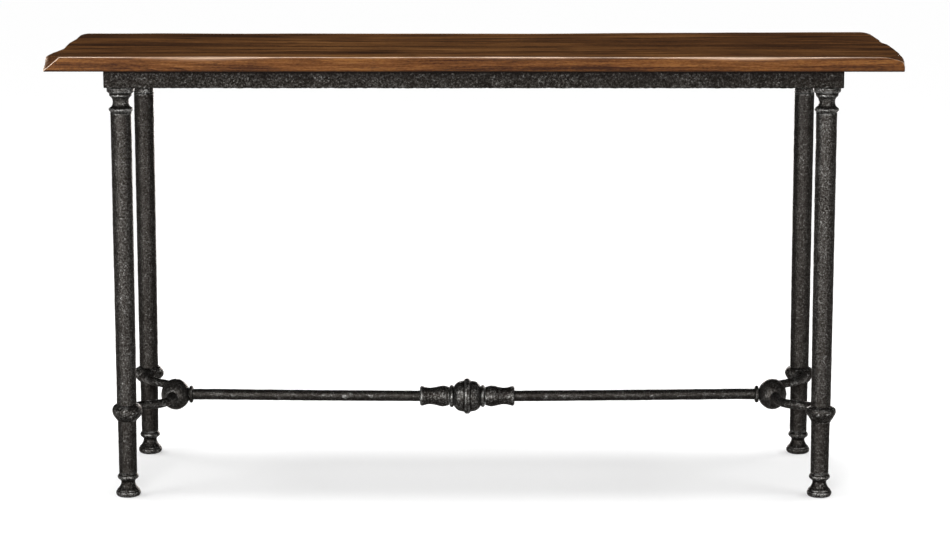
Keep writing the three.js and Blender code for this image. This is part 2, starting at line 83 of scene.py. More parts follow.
def dimples(points, size, seed):
    """How far each point is from the nearest of some scattered centres: 0 at a centre, about 1 at a rim."""
    scaled = points / size
    cell = np.floor(scaled).astype(np.int64)
    nearest = np.full(len(points), 9.0)
    for dx in (-1, 0, 1):
        for dy in (-1, 0, 1):
            for dz in (-1, 0, 1):
                ix, iy, iz = cell[:, 0] + dx, cell[:, 1] + dy, cell[:, 2] + dz
                ex = ix + hashed(ix, iy, iz, seed) - scaled[:, 0]
                ey = iy + hashed(ix, iy, iz, seed + 1) - scaled[:, 1]
                ez = iz + hashed(ix, iy, iz, seed + 2) - scaled[:, 2]
                nearest = np.minimum(nearest, ex * ex + ey * ey + ez * ez)
    return np.sqrt(nearest)


def cast_relief(points, seed, strength):
    """How far a cast and hammered surface stands off its true shape, in metres."""
    relief = 0.30 * lumps(points, 30 * MM, seed)
    relief += 0.22 * lumps(points, 11 * MM, seed + 10)
    relief += 0.34 * (np.clip(dimples(points, 7.5 * MM, seed + 20), 0, 1) - 0.6)
    relief += 0.10 * lumps(points, 2.6 * MM, seed + 30)
    return relief * strength * MM


# ---------------------------------------------------------------- meshes

def mesh_object(name, points, faces, wear_and_sheen=None):
    """A smooth-shaded mesh object, with each point's wear, and on the top's edges its painted highlight, as
    an attribute.
    """
    mesh = bpy.data.meshes.new(name)
    mesh.from_pydata(points.tolist(), [], faces)
    mesh.polygons.foreach_set("use_smooth", [True] * len(mesh.polygons))
    paint(mesh, "wear_and_sheen", np.zeros(len(points)) if wear_and_sheen is None else wear_and_sheen)
    mesh.update()
    piece = bpy.data.objects.new(name, mesh)
    bpy.context.scene.collection.objects.link(piece)
    return piece


def paint(mesh, name, values):
    mesh.attributes.new(name, "FLOAT", "POINT").data.foreach_set("value", np.asarray(values, float))


def tube_faces(rows, columns):
    """Quads between rings of points, with a cap over the first and the last ring."""
    faces = []
    for i in range(rows - 1):
        for j in range(columns):
            k = (j + 1) % columns
            faces.append((i * columns + j, i * columns + k, (i + 1) * columns + k, (i + 1) * columns + j))
    faces.append(tuple(reversed(range(columns))))
    faces.append(tuple(range((rows - 1) * columns, rows * columns)))
    return faces


def softened(profile, step, soften):
    """A profile as evenly spaced points, with its corners rounded over about that length. All in mm."""
    profile = np.array(profile, float)
    run = np.r_[0, np.cumsum(np.hypot(*np.diff(profile, axis=0).T))]
    count = max(4, int(run[-1] / step) + 1)
    at = np.linspace(0, run[-1], count)
    dense = np.c_[np.interp(at, run, profile[:, 0]), np.interp(at, run, profile[:, 1])]
    if soften <= 0:
        return dense
    spacing = run[-1] / (count - 1)
    reach = max(1, int(3 * soften / spacing))
    kernel = np.exp(-0.5 * (np.arange(-reach, reach + 1) * spacing / soften) ** 2)
    kernel /= kernel.sum()
    ends = [np.repeat(dense[:1], reach, 0), dense, np.repeat(dense[-1:], reach, 0)]
    padded = np.concatenate(ends)
    padded[:reach] = 2 * dense[0] - dense[reach:0:-1]
    padded[-reach:] = 2 * dense[-1] - dense[-2:-reach - 2:-1]
    return np.c_[np.convolve(padded[:, 0], kernel, "valid"), np.convolve(padded[:, 1], kernel, "valid")]


def profile_wear(profile):
    """1 where a profile bulges sharply outwards, 0 where it is flat, below 0 in the hollows."""
    tangent = np.gradient(profile, axis=0)
    angle = np.unwrap(np.arctan2(tangent[:, 1], tangent[:, 0]))
    length = np.maximum(np.hypot(*tangent.T), 1e-6)
    return np.clip(np.gradient(angle) / length * 3.0, -1, 1)


def sag(x):
    """How far the forged stretcher hangs below a straight line, at each place along it."""
    return 3.4 * MM * np.clip(1 - (np.abs(x + 0.012) / 0.5) ** 1.5, 0, 1) - 0.8 * MM * np.clip(x / 0.5, 0, 1)


def turned(name, node, profile, place, *, soften, step, strength, seed, axis="Z", sides=72, metal="IRON",
           rub=0.0, grime_and_shade=0.0):
    """A cast piece turned about an axis through place: profile is (radius, height) in mm along that axis.
    step is how far apart its points are and soften how far its corners are rounded over, both in mm.
    rub is how much its lumps are rubbed bright, grime_and_shade how much darker it is all over, from dirt,
    tone and painted shade."""
    line = softened(profile, step, soften)
    wear_and_highlight = profile_wear(line)
    tangent = np.gradient(line, axis=0)
    tangent /= np.maximum(np.hypot(*tangent.T), 1e-9)[:, None]
    angle = np.linspace(0, 2 * math.pi, sides, endpoint=False)
    radial = np.c_[np.cos(angle), np.sin(angle)]
    radius = line[:, 0][:, None, None] * MM
    flat = radius * radial[None]
    height = np.repeat(line[:, 1][:, None] * MM, sides, 1)[..., None]
    points = np.concatenate([flat, height], 2).reshape(-1, 3)
    outward = np.concatenate([tangent[:, 1][:, None, None] * radial[None],
                              np.repeat(-tangent[:, 0][:, None], sides, 1)[..., None]], 2).reshape(-1, 3)
    if axis == "X":
        points, outward = points[:, [2, 0, 1]], outward[:, [2, 0, 1]]
    points = points + np.array(place)
    points = points + outward * cast_relief(points, seed, strength)[:, None]
    points[:, 2] = np.maximum(points[:, 2], 0)  # the feet end on the floor
    if axis == "X":
        points[:, 2] -= sag(points[:, 0])
    # The crests and the proud lumps are rubbed bright, and this also paints in their highlights.
    wear_and_highlight = np.repeat(wear_and_highlight, sides) + rub * rubbed_lumps(points, seed)
    piece = mesh_object(name, points, tube_faces(len(line), sides), wear_and_highlight)
    paint(piece.data, "grime_and_shade", np.full(len(points), grime_and_shade))
    return finish_piece(piece, "cast_iron", METALS[metal], node)


def rubbed_lumps(points, seed):
    """Scattered patches that stand proud and were rubbed bright, from 0 to about 1."""
    coarse = lumps(points, 8 * MM, seed + 40)
    fine = lumps(points, 3.5 * MM, seed + 41)
    return np.clip(1.6 * coarse + 0.8 * fine - 0.5, 0, 1)


def finish_piece(piece, slot, material, *nodes):
    piece.data.materials.append(material)
    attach(piece, BODY)
    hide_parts(*nodes)
    return piece


SPLINE_PARTS = 24


def spline_through(points, step):
    """Evenly spaced points on a smooth curve through the given ones (a uniform Catmull-Rom spline)."""
    points = [Vector(p) for p in points]
    padded = [2 * points[0] - points[1], *points, 2 * points[-1] - points[-2]]
    dense = []
    for a, b, c, d in zip(padded, padded[1:], padded[2:], padded[3:]):
        for i in range(SPLINE_PARTS):
            t = i / SPLINE_PARTS
            dense.append(0.5 * (2 * b + (c - a) * t + (2 * a - 5 * b + 4 * c - d) * t * t
                                + (3 * b - 3 * c + d - a) * t ** 3))
    dense.append(points[-1])
    dense = np.array([tuple(p) for p in dense])
    run = np.r_[0, np.cumsum(np.linalg.norm(np.diff(dense, axis=0), axis=1))]
    at = np.linspace(0, run[-1], int(run[-1] / step) + 1)
    return np.c_[[np.interp(at, run, dense[:, k]) for k in range(3)]].T


BAR_SIDES = 44


def swept(name, node, line, radii, *, strength, seed):
    """A round bar along a line that lies nearly level, with its own radius at each point."""
    tangent = np.gradient(line, axis=0)
    tangent /= np.linalg.norm(tangent, axis=1)[:, None]
    side = np.cross(tangent, [0, 0, 1.0])
    side /= np.linalg.norm(side, axis=1)[:, None]
    up = np.cross(side, tangent)
    angle = np.linspace(0, 2 * math.pi, BAR_SIDES, endpoint=False)
    outward = side[:, None] * np.cos(angle)[None, :, None] + up[:, None] * np.sin(angle)[None, :, None]
    points = (line[:, None] + outward * np.asarray(radii)[:, None, None]).reshape(-1, 3)
    outward = outward.reshape(-1, 3)
    points = points + outward * cast_relief(points, seed, strength)[:, None]
    faces = [tuple(reversed(f)) for f in tube_faces(len(line), BAR_SIDES)]
    piece = mesh_object(name, points, faces, 1.3 * rubbed_lumps(points, seed))
    return finish_piece(piece, "cast_iron", METALS["CASTING"], node)


# ---------------------------------------------------------------- shader helpers

class Nodes:
    """Builds one material's node tree."""

    def __init__(self, name):
        self.material = bpy.data.materials.new(name)
        self.material.use_nodes = True
        self.tree = self.material.node_tree
        self.shader = self.tree.nodes["Principled BSDF"]
        self.place = self.add("ShaderNodeTexCoord").outputs["Object"]

    def add(self, kind, inputs=None, **settings):
        node = self.tree.nodes.new(kind)
        for key, value in settings.items():
            setattr(node, key, value)
        for key, value in (inputs or {}).items():
            self.feed(node.inputs[key], value)
        return node

    def feed(self, socket, value):
        if isinstance(value, bpy.types.NodeSocket):
            self.tree.links.new(value, socket)
        else:
            socket.default_value = value

    def math(self, operation, a, b=0.0):
        return self.add("ShaderNodeMath", {0: a, 1: b}, operation=operation).outputs[0]

    def scaled(self, x, y, z, vector):
        """A vector, stretched by a factor along each axis."""
        return self.add("ShaderNodeVectorMath", {0: vector, 1: (x, y, z)}, operation="MULTIPLY").outputs[0]

    def noise(self, vector, scale, detail, roughness):
        inputs = {"Vector": vector, "Scale": scale, "Detail": detail, "Roughness": roughness}
        return self.add("ShaderNodeTexNoise", inputs).outputs["Fac"]

    def cells(self, vector, scale):
        node = self.add("ShaderNodeTexVoronoi", {"Vector": vector, "Scale": scale}, feature="F1")
        return node.outputs["Distance"]

    def remap(self, value, low, high, new_low=0.0, new_high=1.0):
        inputs = {"Value": value, "From Min": low, "From Max": high, "To Min": new_low, "To Max": new_high}
        return self.add("ShaderNodeMapRange", inputs, clamp=True).outputs["Result"]

    def ramp(self, value, stops):
        node = self.add("ShaderNodeValToRGB", {"Fac": value})
        ramp = node.color_ramp
        while len(ramp.elements) < len(stops):
            ramp.elements.new(0.5)
        for element, (position, colour) in zip(ramp.elements, stops):
            element.position = position
            element.color = (*colour, 1)
        return node.outputs["Color"]

    def mix(self, factor, a, b, blend="MIX"):
        node = self.add("ShaderNodeMix", data_type="RGBA", blend_type=blend)
        self.feed(node.inputs["Factor"], factor)
        for key, value in ((6, a), (7, b)):
            self.feed(node.inputs[key], (*value, 1) if isinstance(value, tuple) else value)
        return node.outputs[2]

    def attribute(self, name):
        return self.add("ShaderNodeAttribute", attribute_name=name).outputs["Fac"]

    def bump(self, height, distance, strength):
        inputs = {"Height": height, "Distance": distance, "Strength": strength}
        return self.add("ShaderNodeBump", inputs).outputs["Normal"]


def iron_material(name, contrast, depth):
    """Blackened iron, hammered and pitted, with pewter-grey rubbing on what stands proud, which also paints
    in the highlights on the crests.
    """
    n = Nodes(name)
    mottle = n.noise(n.place, 330.0, 3.0, 0.66)
    grain = n.noise(n.place, 700.0, 2.0, 0.6)
    broad = n.noise(n.place, 30.0, 2.0, 0.5)
    hammer = n.cells(n.place, 190.0)
    pits = n.cells(n.place, 420.0)
    flecks = n.noise(n.place, 110.0, 3.0, 0.6)
    wear_and_sheen = n.math("MULTIPLY", n.attribute("wear_and_sheen"), n.remap(flecks, 0.38, 0.62, 0.1, 1.0))
    rubbed = n.math("ADD", n.math("MULTIPLY", mottle, 0.64), n.math("MULTIPLY", grain, 0.36))
    rubbed = n.math("ADD", n.math("MULTIPLY", n.math("SUBTRACT", rubbed, 0.5), 0.78 * contrast), 0.39)
    rubbed = n.math("ADD", rubbed, n.math("MULTIPLY", n.math("SUBTRACT", broad, 0.5), 0.10))
    rubbed = n.math("ADD", rubbed, n.math("MULTIPLY", n.math("SUBTRACT", hammer, 0.5), 0.10))
    rubbed = n.math("ADD", rubbed, n.math("MULTIPLY", wear_and_sheen, 0.24))
    # Darker all over where asked: dirt and tone, and painted shade on the rear legs, the flange rings and the
    # apron's top strip.
    rubbed = n.math("SUBTRACT", rubbed, n.math("MULTIPLY", n.attribute("grime_and_shade"), 0.20))
    colour = n.ramp(rubbed, [
        (0.26, (0.0022, 0.0017, 0.0013)),
        (0.38, (0.0105, 0.0093, 0.0082)),
        (0.46, (0.0260, 0.0249, 0.0233)),
        (0.62, (0.1150, 0.1130, 0.1090)),
    ])
    n.feed(n.shader.inputs["Base Color"], colour)
    n.shader.inputs["Metallic"].default_value = 0.65
    n.shader.inputs["Specular IOR Level"].default_value = 0.08
    n.shader.inputs["Specular Tint"].default_value = (0.45, 0.42, 0.40, 1)
    n.feed(n.shader.inputs["Roughness"], n.remap(rubbed, 0.25, 0.55, 0.54, 0.40))
    height = n.math("ADD", n.math("MULTIPLY", mottle, 0.60), n.math("MULTIPLY", grain, 0.20))
    height = n.math("ADD", height, n.math("MULTIPLY", hammer, 0.22))
    height = n.math("ADD", height, n.math("MULTIPLY", n.remap(pits, 0.0, 0.4), 0.20))
    n.feed(n.shader.inputs["Normal"], n.bump(height, depth, 1.0))
    return n.material


def steel_material():
    """Dark zinc-plated fasteners."""
    n = Nodes("dark_zinc")
    patches = n.noise(n.place, 320.0, 3.0, 0.5)
    n.feed(n.shader.inputs["Base Color"], n.ramp(patches, [
        (0.35, (0.08, 0.08, 0.082)), (0.65, (0.19, 0.185, 0.17))]))
    n.shader.inputs["Metallic"].default_value = 0.95
    n.feed(n.shader.inputs["Roughness"], n.remap(patches, 0.3, 0.7, 0.48, 0.3))
    n.feed(n.shader.inputs["Normal"], n.bump(patches, 0.0003, 0.4))
    return n.material


KNOT_HEIGHT = 0.81  # just under the upper face


def walnut_material(name, shift, warmth, knots):
    """Stained walnut with its grain along X. shift moves the figure, so that no two boards match."""
    n = Nodes(name)
    moved = n.add("ShaderNodeVectorMath", {0: n.place, 1: shift}, operation="ADD").outputs[0]
    parts = n.add("ShaderNodeSeparateXYZ", {0: n.place}).outputs
    # Growth lines: level lines of a field that drifts along the board and arches in one place.
    arch = n.math("SUBTRACT", parts["X"], -0.40)
    arch = n.math("MINIMUM", n.math("MULTIPLY", arch, arch), 0.045)
    arch = n.math("MULTIPLY", arch, n.remap(parts["Y"], -0.226, -0.205, 1.0, 0.0))
    field = n.math("SUBTRACT", parts["Z"], arch)
    field = n.math("ADD", field, n.math("MULTIPLY", parts["Y"], 0.30))
    drift = n.noise(n.scaled(1.6, 5.0, 9.0, moved), 1.0, 3.0, 0.5)
    field = n.math("ADD", field, n.math("MULTIPLY", drift, 0.075))
    phase = n.math("FRACT", n.math("MULTIPLY", field, 70.0))
    late = n.math("MULTIPLY", n.remap(phase, 0.35, 0.93), n.remap(phase, 1.0, 0.93))
    line_break = n.noise(n.scaled(5.0, 30.0, 60.0, moved), 1.0, 2.0, 0.5)
    late = n.math("MULTIPLY", late, n.remap(line_break, 0.42, 0.58))
    broad = n.noise(n.scaled(1.5, 22.0, 80.0, moved), 1.0, 3.0, 0.55)
    streak = n.noise(n.scaled(3.4, 85.0, 230.0, moved), 1.0, 3.0, 0.62)
    fibre = n.noise(n.scaled(20.0, 330.0, 620.0, moved), 1.0, 3.0, 0.6)
    pores = n.noise(n.scaled(55.0, 1100.0, 1300.0, moved), 1.0, 1.0, 0.5)
    patch = n.noise(n.scaled(2.6, 8.0, 8.0, moved), 1.0, 2.0, 0.5)
    tone = n.math("ADD", n.math("MULTIPLY", broad, 0.34), n.math("MULTIPLY", streak, 0.36))
    tone = n.math("ADD", tone, n.math("MULTIPLY", fibre, 0.36))
    tone = n.math("ADD", tone, n.math("MULTIPLY", n.math("SUBTRACT", patch, 0.5), 0.40))
    tone = n.math("SUBTRACT", tone, n.math("MULTIPLY", late, 0.11))
    speckle = n.noise(n.scaled(150.0, 420.0, 420.0, moved), 1.0, 2.0, 0.6)
    tone = n.math("ADD", tone, n.math("MULTIPLY", n.math("SUBTRACT", speckle, 0.5), 0.22))
    # The stain is darker towards the ends of the top, most of all on the right.
    stain_left = n.remap(parts["X"], -0.5, -0.1, -0.030, 0.020)
    stain_right = n.remap(parts["X"], 0.1, 0.5, 0.0, -0.075)
    stain = n.math("ADD", stain_left, stain_right)
    upper_face = n.math("SUBTRACT", 1.0, n.attribute("edge"))
    tone = n.math("ADD", tone, n.math("MULTIPLY", stain, upper_face))
    for knot_x, knot_y, size in knots:
        centre = (knot_x, knot_y, KNOT_HEIGHT)
        away = n.add("ShaderNodeVectorMath", {0: n.place, 1: centre}, operation="SUBTRACT").outputs[0]
        away = n.add("ShaderNodeVectorMath", {0: n.scaled(0.5 / size, 1.2 / size, 0.4 / size, away)},
                     operation="LENGTH").outputs["Value"]
        tone = n.math("SUBTRACT", tone, n.remap(away, 1.3, 0.2, 0.0, 0.34))
    dark = n.ramp(tone, [
        (0.37, (0.0180, 0.0062, 0.0016)),
        (0.44, (0.0380, 0.0145, 0.0038)),
        (0.51, (0.0760, 0.0295, 0.0078)),
        (0.58, (0.1180, 0.0500, 0.0135)),
        (0.66, (0.1750, 0.0800, 0.0240)),
    ])
    light = n.ramp(tone, [
        (0.37, (0.0300, 0.0085, 0.0013)),
        (0.45, (0.0720, 0.0230, 0.0037)),
        (0.53, (0.1180, 0.0400, 0.0070)),
        (0.64, (0.1900, 0.0740, 0.0150)),
    ])
    colour = n.mix(n.attribute("edge"), dark, light)
    colour = n.mix(n.math("MULTIPLY", n.attribute("end_grain"), 0.75), colour, (0.035, 0.0135, 0.0050))
    colour = n.mix(n.math("MULTIPLY", n.attribute("scraped"), 0.7), colour, (0.22, 0.105, 0.040))
    colour = n.mix(n.remap(pores, 0.58, 0.70, 0.0, 0.6), colour, (0.010, 0.0045, 0.0020))
    # Painted shade along the underside's edge.
    colour = n.mix(n.math("MULTIPLY", n.attribute("underside_shade"), 0.85), colour, (0.008, 0.0030, 0.0008))
    # The stain rubbed thin along the upper corner, made brighter still as a painted highlight along the edge.
    rubbed = n.math("MULTIPLY", n.attribute("wear_and_sheen"), n.remap(fibre, 0.25, 0.55, 0.45, 1.0))
    colour = n.mix(rubbed, colour, (0.95, 0.74, 0.58))
    n.feed(n.shader.inputs["Base Color"], n.mix(1.0, colour, warmth, "MULTIPLY"))
    n.feed(n.shader.inputs["Roughness"], n.remap(tone, 0.3, 0.7, 0.62, 0.50))
    n.shader.inputs["Specular IOR Level"].default_value = 0.03
    height = n.math("ADD", n.math("MULTIPLY", fibre, 0.5), n.math("MULTIPLY", streak, 0.5))
    height = n.math("SUBTRACT", height, n.math("MULTIPLY", n.remap(pores, 0.6, 0.72), 0.4))
    n.feed(n.shader.inputs["Normal"], n.bump(height, 0.0006, 0.5))
    return n.material


METALS = {
    "IRON": iron_material("blackened_iron", 1.12, 0.0010),
    "CASTING": iron_material("rubbed_casting", 1.6, 0.0014),
    "HAMMERED": iron_material("hammered_iron", 1.5, 0.0022),
    "STEEL": steel_material(),
}


# ---------------------------------------------------------------- the top

TOP_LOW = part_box("top_board_front")[0]
TOP_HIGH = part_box("top_board_rear")[1]
TOP_THICKNESS = TOP_HIGH[2] - TOP_LOW[2]
HALF_LENGTH = (TOP_HIGH[0] - TOP_LOW[0]) / 2

# How far the ends stand in from a straight cut, as (y, inset) in mm. The left one has a shallow bay.
# The right one bulges a little past the cut and has a notch.
LEFT_INSET = [(-228, 0), (-140, 3), (-50, 10), (50, 4), (130, 5), (205, 1), (220, 4), (228, 14)]
RIGHT_INSET = [(-228, 0), (-130, -7), (-50, -9.5), (10, -9), (50, -2.5), (90, -5), (200, -5), (220, -1),
               (228, 8)]
# The upper edge of each end rolls over: how wide and how deep, as (y, width) and (y, depth) in mm.
LEFT_ROLL = [(-228, 3), (228, 4)], [(-228, 3), (228, 4)]
RIGHT_ROLL = [(-228, 46), (-205, 26), (-180, 12), (-120, 8), (228, 8)], [(-228, 11.5), (-190, 6), (228, 4.5)]
FACET_WIDTH = 31 * MM
FACET_DEPTH = 36 * MM


def along(pairs, y):
    """A smooth curve through (y in mm, value in mm) pairs, in metres."""
    ys, values = np.array(pairs, float).T
    fine = np.linspace(ys[0], ys[-1], 400)
    kernel = np.hanning(17)
    curve = np.convolve(np.pad(np.interp(fine, ys, values), 8, "edge"), kernel / kernel.sum(), "valid")
    return np.interp(y / MM, fine, curve) * MM


def facet_inset(y, up):
    """The plane knocked off the front left corner: how far in it cuts at a depth and a height."""
    return FACET_WIDTH * (up / TOP_THICKNESS - (y - TOP_LOW[1]) / FACET_DEPTH)


def end_x(side, y, up):
    """Where an end of the top is, at a depth and a height above the underside."""
    inset, (width, depth) = (LEFT_INSET, LEFT_ROLL) if side < 0 else (RIGHT_INSET, RIGHT_ROLL)
    drop = along(depth, y)
    t = np.clip((up - (TOP_THICKNESS - drop)) / drop, 0, 0.999)
    reach = along(inset, y) + along(width, y) * (1 - (1 - t ** 1.35) ** 0.6)
    if side < 0:
        reach = np.maximum(reach, facet_inset(y, up))
    return side * (HALF_LENGTH - reach)


def edge_radius(x):
    """The front edge was eased by hand: from a crisp 2 mm to a scraped 7 mm in places, along x."""
    scraped = np.exp(-((x + 0.50) / 0.09) ** 2) + 0.8 * np.exp(-((x - 0.50) / 0.11) ** 2)
    middle = np.exp(-((x - 0.10) / 0.13) ** 2)
    return (1.8 + 5.0 * np.clip(scraped, 0, 1) + 1.2 * middle) * MM


def spread(length, edge_steps, step):
    """Stations along a length, close together at both ends and evenly spaced between."""
    near = np.array(edge_steps) * MM
    inner = np.linspace(near[-1], length - near[-1], max(2, int((length - 2 * near[-1]) / step)))
    return np.r_[near[:-1], inner, (length - near[:-1])[::-1]]


def board(name, node, low_y, high_y, outer_edge, seed, material):
    """One board: a lattice on the surface of a block, its edges rounded, then bent to the top's outline."""
    us = spread(2 * HALF_LENGTH, [0, 0.4, 1.0, 1.8, 3.0, 5, 8, 12, 20], 5 * MM)
    vs = spread(high_y - low_y, [0, 0.3, 0.8, 1.6, 2.6, 4.0, 6.0, 9.0], 6 * MM)
    ws = spread(TOP_THICKNESS, [0, 0.4, 1.0, 1.8, 3.0, 4.6, 6.5, 9.0], 3 * MM)
    nu, nv, nw = len(us), len(vs), len(ws)
    grid = np.stack(np.meshgrid(us, vs, ws, indexing="ij"), -1).reshape(-1, 3)
    index = np.arange(nu * nv * nw).reshape(nu, nv, nw)
    shell = np.zeros((nu, nv, nw), bool)
    shell[[0, -1]] = shell[:, [0, -1]] = shell[:, :, [0, -1]] = True
    number = -np.ones(nu * nv * nw, int)
    kept = np.flatnonzero(shell.ravel())
    number[kept] = np.arange(len(kept))
    index = number[index]
    faces = []
    for sheet, flip in ((index[0], 1), (index[-1], 0), (index[:, 0], 0), (index[:, -1], 1),
                        (index[:, :, 0], 1), (index[:, :, -1], 0)):
        quads = np.stack([sheet[:-1, :-1], sheet[1:, :-1], sheet[1:, 1:], sheet[:-1, 1:]], -1).reshape(-1, 4)
        faces += (quads[:, ::-1] if flip else quads).tolist()
    block = grid[kept]
    size = np.array([2 * HALF_LENGTH, high_y - low_y, TOP_THICKNESS])

    # Round the edges: the outer edge as the hand left it, the seam only just eased.
    x0 = block[:, 0] - HALF_LENGTH
    outer = block[:, 1] < size[1] / 2 if outer_edge < 0 else block[:, 1] > size[1] / 2
    upper = block[:, 2] > size[2] / 2
    front_radius = edge_radius(x0) if outer_edge < 0 else np.full(len(x0), 3.5 * MM)
    end_radius = 2.2 * MM
    radius = np.where(outer & upper, front_radius, np.where(outer, 2.0 * MM, 0.5 * MM))
    near_end = np.clip(1 - np.minimum(block[:, 0], size[0] - block[:, 0]) / (12 * MM), 0, 1)
    radius = np.maximum(radius, end_radius * near_end)
    core = np.minimum(np.maximum(block, radius[:, None]), size - radius[:, None])
    reach = block - core
    length = np.maximum(np.linalg.norm(reach, axis=1), 1e-9)
    rounded = np.where(length[:, None] > 1e-8, core + reach / length[:, None] * radius[:, None], block)

    # Bend the block to the outline.
    up = rounded[:, 2]
    y = low_y + rounded[:, 1]
    share = rounded[:, 0] / size[0]
    x = end_x(-1, y, up) * (1 - share) + end_x(1, y, up) * share
    place = np.c_[x, y, TOP_LOW[2] + up]
    away = rounded[:, 1] / size[1] if outer_edge > 0 else 1 - rounded[:, 1] / size[1]
    wander = 1.0 * np.sin(x / 0.118 + seed) + 0.6 * np.sin(x / 0.053 + 1 + seed)
    place[:, 1] += outer_edge * wander * MM * away ** 3
    flat = np.c_[x * 0.25, y, np.zeros(len(place))]
    planed = 0.35 * lumps(flat, 38 * MM, seed) + 0.15 * lumps(flat, 14 * MM, seed + 3)
    backward = np.clip((y + 0.10) / 0.33, 0, 1)
    rise = backward * (2.8 + 3.2 * np.clip((x - 0.10) / 0.55, 0, 1))
    place[:, 2] += (planed + rise) * MM * np.clip(2 * up / TOP_THICKNESS - 1, 0, 1)
    place[:, 1] += outer_edge * MM * 0.3 * lumps(place * np.array([0.5, 1, 1]), 16 * MM, seed + 7) * away ** 6

    piece = mesh_object(name, place, faces)
    paint_board(piece, block, size, radius, outer, x, y, up, outer_edge)
    return finish_piece(piece, "walnut", material, node)


def paint_board(piece, block, size, radius, outer, x, y, up, outer_edge):
    """Marks where the stain was rubbed thin along the upper corner, with a painted highlight there and along
    the corner facet's edges, where the wood is end grain, and painted shade along the underside's edge.
    """
    depth_in = block[:, 1] if outer_edge < 0 else size[1] - block[:, 1]
    down = size[2] - block[:, 2]
    edge = outer & (depth_in < 1e-6)
    rim = np.exp(-((down + 0.35 * depth_in) / (0.5 * radius)) ** 2) * outer
    near_corner = np.exp(-((depth_in + down) / (5 * MM)) ** 2)
    scraped = np.clip(near_corner * (radius - 2 * MM) / (3 * MM), 0, 1) * outer
    # Painted highlight: the rim is brighter at some places along the front edge, most of all near the middle.
    sheen_along = 0.5 + 0.5 * np.exp(-((x - 0.08) / 0.20) ** 2) + 0.3 * np.exp(-((x + 0.70) / 0.06) ** 2)
    sheen_along += 0.3 * np.exp(-((x - 0.62) / 0.10) ** 2)
    patchy = 0.8 + 0.3 * lumps(np.c_[x, 0 * x, 0 * x], 45 * MM, 5)
    arris_sheen = np.zeros(len(x))
    # Painted highlight along the edges of the knocked-off front corner and of the rolled right end.
    if outer_edge < 0:
        on_facet = block[:, 0] < 1e-6
        arris_sheen = on_facet * np.exp(-(depth_in / (1.3 * MM)) ** 2) * 0.9
        rolled = (size[0] - block[:, 0] < 1e-6) & (down < 11 * MM)
        arris_sheen = np.maximum(arris_sheen, rolled * np.exp(-(depth_in / (1.0 * MM)) ** 2) * 0.6)
        facet_rim = (y - TOP_LOW[1] - FACET_DEPTH * up / TOP_THICKNESS) / (2 * MM)
        arris_sheen = np.maximum(arris_sheen, 0.8 * on_facet * np.exp(-facet_rim ** 2))
    wear_and_sheen = np.clip(np.maximum(rim * sheen_along * patchy, arris_sheen), 0, 1)
    piece.data.attributes["wear_and_sheen"].data.foreach_set("value", wear_and_sheen)
    end_grain = (np.minimum(block[:, 0], size[0] - block[:, 0]) < 1e-6).astype(float)
    # Painted shade: the lowest few mm of each board are darkened, as the shade under its lower edge.
    underside_shade = np.clip(1 - (block[:, 2] - 0.8 * MM) / (2.6 * MM), 0, 1)
    for name, values in (("edge", np.clip(np.where(edge, 1.0, rim), 0, 1)), ("scraped", scraped),
                         ("end_grain", end_grain), ("underside_shade", underside_shade)):
        paint(piece.data, name, values)


def make_top():
    front_low, front_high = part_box("top_board_front")
    rear_low, rear_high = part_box("top_board_rear")
    front = walnut_material("walnut_front", (0.30, 0.11, 0.02), (1.0, 1.0, 1.0),
                            [(0.165, -0.07, 0.007), (-0.11, -0.185, 0.006), (0.47, -0.15, 0.005)])
    rear = walnut_material("walnut_rear", (2.90, 0.47, 0.33), (0.97, 0.95, 0.93),
                           [(-0.34, 0.05, 0.006), (0.30, 0.12, 0.008)])
    board("top_front_board", "top_board_front", front_low[1], front_high[1], -1, 11, front)
    board("top_rear_board", "top_board_rear", rear_low[1], rear_high[1], 1, 12, rear)


# ---------------------------------------------------------------- the apron frame

RAIL_THICKNESS = 4 * MM
RAIL_STEPS = [2.2, 4, 4, 6, 4, 2]  # spacing of the points along each side of the section, in mm
RAIL_ROW = 2.6 * MM  # spacing of the sections along the rail
APRON_DARKENING = 0.38  # how dark the apron is all over
# Painted shade: the rails' top strip is darkened as the shadow of the overhanging top.
PAINTED_SHADE, PAINTED_SHADE_DEPTH = 1.8, 7 * MM  # how much darker it is right under the top, and how far down


